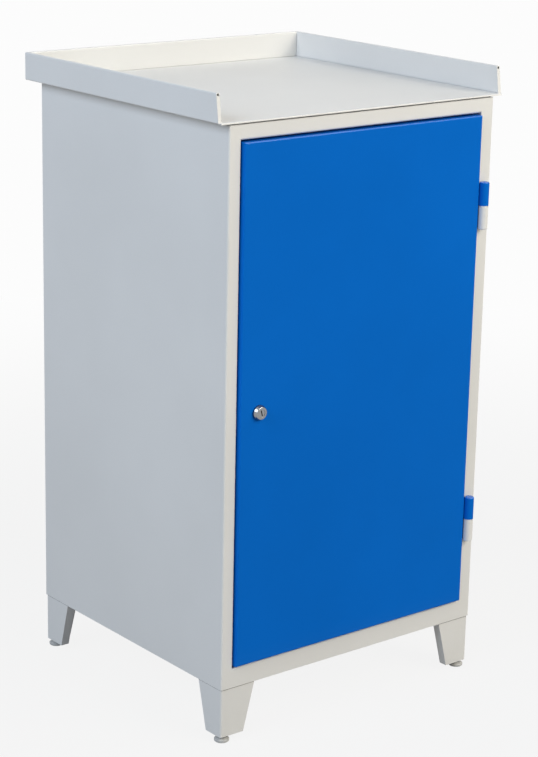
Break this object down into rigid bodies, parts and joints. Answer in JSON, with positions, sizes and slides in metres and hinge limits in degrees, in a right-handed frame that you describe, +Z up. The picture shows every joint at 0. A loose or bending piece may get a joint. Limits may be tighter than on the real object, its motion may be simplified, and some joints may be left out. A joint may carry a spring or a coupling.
{
  "type": "workshop storage cabinet",
  "caption": "Steel workshop cabinet on levelling legs: hinged lockable blue door, adjustable shelves inside and a tray-shaped worktop with upstands on three sides.",
  "frame": {"origin": "on the floor, under the middle of the body and of the whole box", "axes": "+X to the right as seen from the door side, +Y towards the back, +Z up"},
  "size_m": [0.566, 0.5345, 1.025],
  "materials": {
    "light_grey_paint": "smooth semi-gloss powder coat, very light warm grey",
    "blue_paint": "smooth semi-gloss powder coat, strong blue",
    "zinc_steel": "bright zinc plate",
    "chrome": "polished plate",
    "rubber": "matt black",
    "grey_plastic": "moulded light grey, fine grain"
  },
  "bodies": {
    "cabinet": {"side_panel_left": "light_grey_paint", "side_panel_right": "light_grey_paint", "top_rail": "light_grey_paint", "bottom_rail": "light_grey_paint", "top_panel": "light_grey_paint", "bottom_panel": "light_grey_paint", "back_panel": "light_grey_paint", "shelf_lower": "light_grey_paint", "shelf_upper": "light_grey_paint", "worktop_tray": "light_grey_paint", "hinge_upper_frame_knuckle": "light_grey_paint", "hinge_lower_frame_knuckle": "light_grey_paint", "upright_front_left": "light_grey_paint", "upright_front_right": "light_grey_paint", "upright_rear_left": "light_grey_paint", "upright_rear_right": "light_grey_paint", "leg_front_left": "light_grey_paint", "leg_front_right": "light_grey_paint", "leg_rear_left": "light_grey_paint", "leg_rear_right": "light_grey_paint", "shelf_clips_lower": "zinc_steel", "shelf_clips_upper": "zinc_steel", "tray_studs": "zinc_steel", "tray_washers": "zinc_steel", "tray_nuts": "zinc_steel", "leg_bolts": "zinc_steel", "leg_bolt_nuts": "zinc_steel", "leg_weld_nuts": "zinc_steel", "hinge_upper_pin": "zinc_steel", "hinge_lower_pin": "zinc_steel", "hinge_upper_washer": "zinc_steel", "hinge_lower_washer": "zinc_steel", "door_buffers": "rubber", "tray_spacers": "rubber"},
    "door": {"door_skin": "blue_paint", "door_stiffener": "blue_paint", "hinge_upper_door_knuckle": "blue_paint", "hinge_lower_door_knuckle": "blue_paint", "lock_housing": "chrome", "lock_nut": "zinc_steel"},
    "lock": {"lock_plug": "chrome", "lock_cam": "zinc_steel", "lock_cam_screw": "zinc_steel"},
    "pad_front_left": {"foot_pad_front_left": "grey_plastic"},
    "stem_front_left": {"foot_stem_front_left": "zinc_steel"},
    "pad_front_right": {"foot_pad_front_right": "grey_plastic"},
    "stem_front_right": {"foot_stem_front_right": "zinc_steel"},
    "pad_rear_left": {"foot_pad_rear_left": "grey_plastic"},
    "stem_rear_left": {"foot_stem_rear_left": "zinc_steel"},
    "pad_rear_right": {"foot_pad_rear_right": "grey_plastic"},
    "stem_rear_right": {"foot_stem_rear_right": "zinc_steel"}
  },
  "joints": [
    {"name": "door_swing", "type": "hinge", "parent": "cabinet", "child": "door", "pos_m": [0.245, -0.2585, 0.4], "axis": [0, 0, 1], "range_deg": [0, 180]},
    {"name": "lock_turn", "type": "hinge", "parent": "door", "child": "lock", "pos_m": [-0.206, -0.25, 0.537], "axis": [0, 1, 0], "range_deg": [0, 90]},
    {"name": "foot_front_left_travel", "type": "slide", "parent": "cabinet", "child": "pad_front_left", "axis": [0, 0, -1], "range_m": [0, 0.02]},
    {"name": "foot_front_left_screw", "type": "hinge", "parent": "pad_front_left", "child": "stem_front_left", "pos_m": [-0.252, -0.237, 0.02], "axis": [0, 0, -1], "continuous": true},
    {"name": "foot_front_right_travel", "type": "slide", "parent": "cabinet", "child": "pad_front_right", "axis": [0, 0, -1], "range_m": [0, 0.02]},
    {"name": "foot_front_right_screw", "type": "hinge", "parent": "pad_front_right", "child": "stem_front_right", "pos_m": [0.252, -0.237, 0.02], "axis": [0, 0, -1], "continuous": true},
    {"name": "foot_rear_left_travel", "type": "slide", "parent": "cabinet", "child": "pad_rear_left", "axis": [0, 0, -1], "range_m": [0, 0.02]},
    {"name": "foot_rear_left_screw", "type": "hinge", "parent": "pad_rear_left", "child": "stem_rear_left", "pos_m": [-0.252, 0.237, 0.02], "axis": [0, 0, -1], "continuous": true},
    {"name": "foot_rear_right_travel", "type": "slide", "parent": "cabinet", "child": "pad_rear_right", "axis": [0, 0, -1], "range_m": [0, 0.02]},
    {"name": "foot_rear_right_screw", "type": "hinge", "parent": "pad_rear_right", "child": "stem_rear_right", "pos_m": [0.252, 0.237, 0.02], "axis": [0, 0, -1], "continuous": true}
  ],
  "couplings": [
    {"joint": "foot_front_left_screw", "follows": "foot_front_left_travel", "rad_per_m": 5026.5},
    {"joint": "foot_front_right_screw", "follows": "foot_front_right_travel", "rad_per_m": 5026.5},
    {"joint": "foot_rear_left_screw", "follows": "foot_rear_left_travel", "rad_per_m": 5026.5},
    {"joint": "foot_rear_right_screw", "follows": "foot_rear_right_travel", "rad_per_m": 5026.5}
  ]
}
